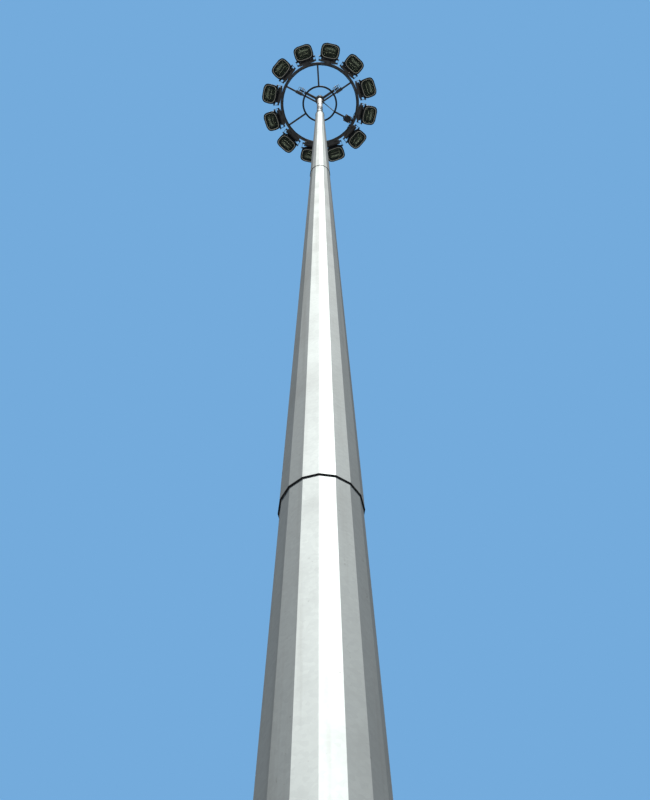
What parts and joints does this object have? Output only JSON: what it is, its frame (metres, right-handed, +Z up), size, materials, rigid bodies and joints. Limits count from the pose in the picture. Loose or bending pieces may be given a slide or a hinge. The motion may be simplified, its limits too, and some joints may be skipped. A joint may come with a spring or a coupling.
{
  "type": "high mast floodlight tower",
  "caption": "Tall tapered polygonal steel mast with a ring carriage of tilting floodlights that is winched up and down it.",
  "frame": {"origin": "centre of the base flange's underside", "axes": "+Z up along the mast, a mast corner at -Y"},
  "size_m": [3.2682, 3.2682, 29.93],
  "materials": {
    "galvanised": "hot-dip galvanised, weathered matte",
    "galvanised_dark": "hot-dip galvanised, dull grey patina",
    "spigot_white": "white powder coat",
    "carriage_steel": "dark grey paint over galvanising",
    "gear_paint": "textured near-black powder coat",
    "fittings": "zinc plated",
    "sheave_iron": "machined groove, greased",
    "wire_rope": "stranded, galvanised",
    "cable_sheath": "matt black sheath",
    "housing_cast": "die-cast, near-black powder coat",
    "lamp_glass": "toughened, clear, dark interior behind"
  },
  "bodies": {
    "mast": {"base_flange": "galvanised", "base_gussets": "galvanised", "mast_section_1": "galvanised", "mast_section_2": "galvanised", "mast_section_3": "galvanised", "door_frame": "galvanised", "access_door": "galvanised", "door_fittings": "fittings", "spigot_collar": "spigot_white", "mast_spigot": "spigot_white", "head_drum": "carriage_steel", "head_arm_1": "carriage_steel", "head_arm_2": "carriage_steel", "head_arm_3": "carriage_steel", "sheave_pins": "fittings", "rope_runs": "wire_rope", "docking_arms": "carriage_steel", "hoist_ropes": "wire_rope", "supply_cable": "cable_sheath"},
    "carriage": {"outer_ring": "carriage_steel", "inner_ring": "carriage_steel", "ring_spoke_1": "carriage_steel", "ring_spoke_2": "carriage_steel", "ring_spoke_3": "carriage_steel", "ring_spoke_4": "carriage_steel", "ring_spoke_5": "carriage_steel", "ring_spoke_6": "carriage_steel", "rope_anchors": "carriage_steel", "junction_box": "gear_paint", "gear_boxes": "gear_paint", "lamp_brackets": "carriage_steel"},
    "sheave_1": {"head_sheave_1": "sheave_iron"},
    "sheave_2": {"head_sheave_2": "sheave_iron"},
    "sheave_3": {"head_sheave_3": "sheave_iron"},
    "floodlight_1": {"floodlight_1_housing": "housing_cast", "floodlight_1_glass": "lamp_glass"},
    "floodlight_2": {"floodlight_2_housing": "housing_cast", "floodlight_2_glass": "lamp_glass"},
    "floodlight_3": {"floodlight_3_housing": "housing_cast", "floodlight_3_glass": "lamp_glass"},
    "floodlight_4": {"floodlight_4_housing": "housing_cast", "floodlight_4_glass": "lamp_glass"},
    "floodlight_5": {"floodlight_5_housing": "housing_cast", "floodlight_5_glass": "lamp_glass"},
    "floodlight_6": {"floodlight_6_housing": "housing_cast", "floodlight_6_glass": "lamp_glass"},
    "floodlight_7": {"floodlight_7_housing": "housing_cast", "floodlight_7_glass": "lamp_glass"},
    "floodlight_8": {"floodlight_8_housing": "housing_cast", "floodlight_8_glass": "lamp_glass"},
    "floodlight_9": {"floodlight_9_housing": "housing_cast", "floodlight_9_glass": "lamp_glass"},
    "floodlight_10": {"floodlight_10_housing": "housing_cast", "floodlight_10_glass": "lamp_glass"},
    "floodlight_11": {"floodlight_11_housing": "housing_cast", "floodlight_11_glass": "lamp_glass"},
    "floodlight_12": {"floodlight_12_housing": "housing_cast", "floodlight_12_glass": "lamp_glass"}
  },
  "joints": [
    {"name": "carriage_hoist", "type": "slide", "parent": "mast", "child": "carriage", "axis": [0, 0, 1], "range_m": [-26.4, 0], "deforming": ["hoist_ropes", "supply_cable"]},
    {"name": "sheave_1_turn", "type": "hinge", "parent": "mast", "child": "sheave_1", "pos_m": [0, 0.588, 29.84], "axis": [1, 0, 0], "range_deg": [-20865, 0]},
    {"name": "sheave_2_turn", "type": "hinge", "parent": "mast", "child": "sheave_2", "pos_m": [-0.50922, -0.294, 29.84], "axis": [-0.5, 0.866, 0], "range_deg": [-20865, 0]},
    {"name": "sheave_3_turn", "type": "hinge", "parent": "mast", "child": "sheave_3", "pos_m": [0.50922, -0.294, 29.84], "axis": [-0.5, -0.866, 0], "range_deg": [-20865, 0]},
    {"name": "floodlight_1_tilt", "type": "hinge", "parent": "carriage", "child": "floodlight_1", "pos_m": [0.89803, 0.89803, 28.686], "axis": [0.7071, -0.7071, 0], "range_deg": [-20, 40]},
    {"name": "floodlight_2_tilt", "type": "hinge", "parent": "carriage", "child": "floodlight_2", "pos_m": [0.3287, 1.22673, 28.686], "axis": [0.9659, -0.2588, 0], "range_deg": [-20, 40]},
    {"name": "floodlight_3_tilt", "type": "hinge", "parent": "carriage", "child": "floodlight_3", "pos_m": [-0.3287, 1.22673, 28.686], "axis": [0.9659, 0.2588, 0], "range_deg": [-20, 40]},
    {"name": "floodlight_4_tilt", "type": "hinge", "parent": "carriage", "child": "floodlight_4", "pos_m": [-0.89803, 0.89803, 28.686], "axis": [0.7071, 0.7071, 0], "range_deg": [-20, 40]},
    {"name": "floodlight_5_tilt", "type": "hinge", "parent": "carriage", "child": "floodlight_5", "pos_m": [-1.22673, 0.3287, 28.686], "axis": [0.2588, 0.9659, 0], "range_deg": [-20, 40]},
    {"name": "floodlight_6_tilt", "type": "hinge", "parent": "carriage", "child": "floodlight_6", "pos_m": [-1.22673, -0.3287, 28.686], "axis": [-0.2588, 0.9659, 0], "range_deg": [-20, 40]},
    {"name": "floodlight_7_tilt", "type": "hinge", "parent": "carriage", "child": "floodlight_7", "pos_m": [-0.89803, -0.89803, 28.686], "axis": [-0.7071, 0.7071, 0], "range_deg": [-20, 40]},
    {"name": "floodlight_8_tilt", "type": "hinge", "parent": "carriage", "child": "floodlight_8", "pos_m": [-0.3287, -1.22673, 28.686], "axis": [-0.9659, 0.2588, 0], "range_deg": [-20, 40]},
    {"name": "floodlight_9_tilt", "type": "hinge", "parent": "carriage", "child": "floodlight_9", "pos_m": [0.3287, -1.22673, 28.686], "axis": [-0.9659, -0.2588, 0], "range_deg": [-20, 40]},
    {"name": "floodlight_10_tilt", "type": "hinge", "parent": "carriage", "child": "floodlight_10", "pos_m": [0.89803, -0.89803, 28.686], "axis": [-0.7071, -0.7071, 0], "range_deg": [-20, 40]},
    {"name": "floodlight_11_tilt", "type": "hinge", "parent": "carriage", "child": "floodlight_11", "pos_m": [1.22673, -0.3287, 28.686], "axis": [-0.2588, -0.9659, 0], "range_deg": [-20, 40]},
    {"name": "floodlight_12_tilt", "type": "hinge", "parent": "carriage", "child": "floodlight_12", "pos_m": [1.22673, 0.3287, 28.686], "axis": [0.2588, -0.9659, 0], "range_deg": [-20, 40]}
  ],
  "couplings": [
    {"joint": "sheave_1_turn", "follows": "carriage_hoist", "rad_per_m": 13.793},
    {"joint": "sheave_2_turn", "follows": "carriage_hoist", "rad_per_m": 13.793},
    {"joint": "sheave_3_turn", "follows": "carriage_hoist", "rad_per_m": 13.793}
  ]
}
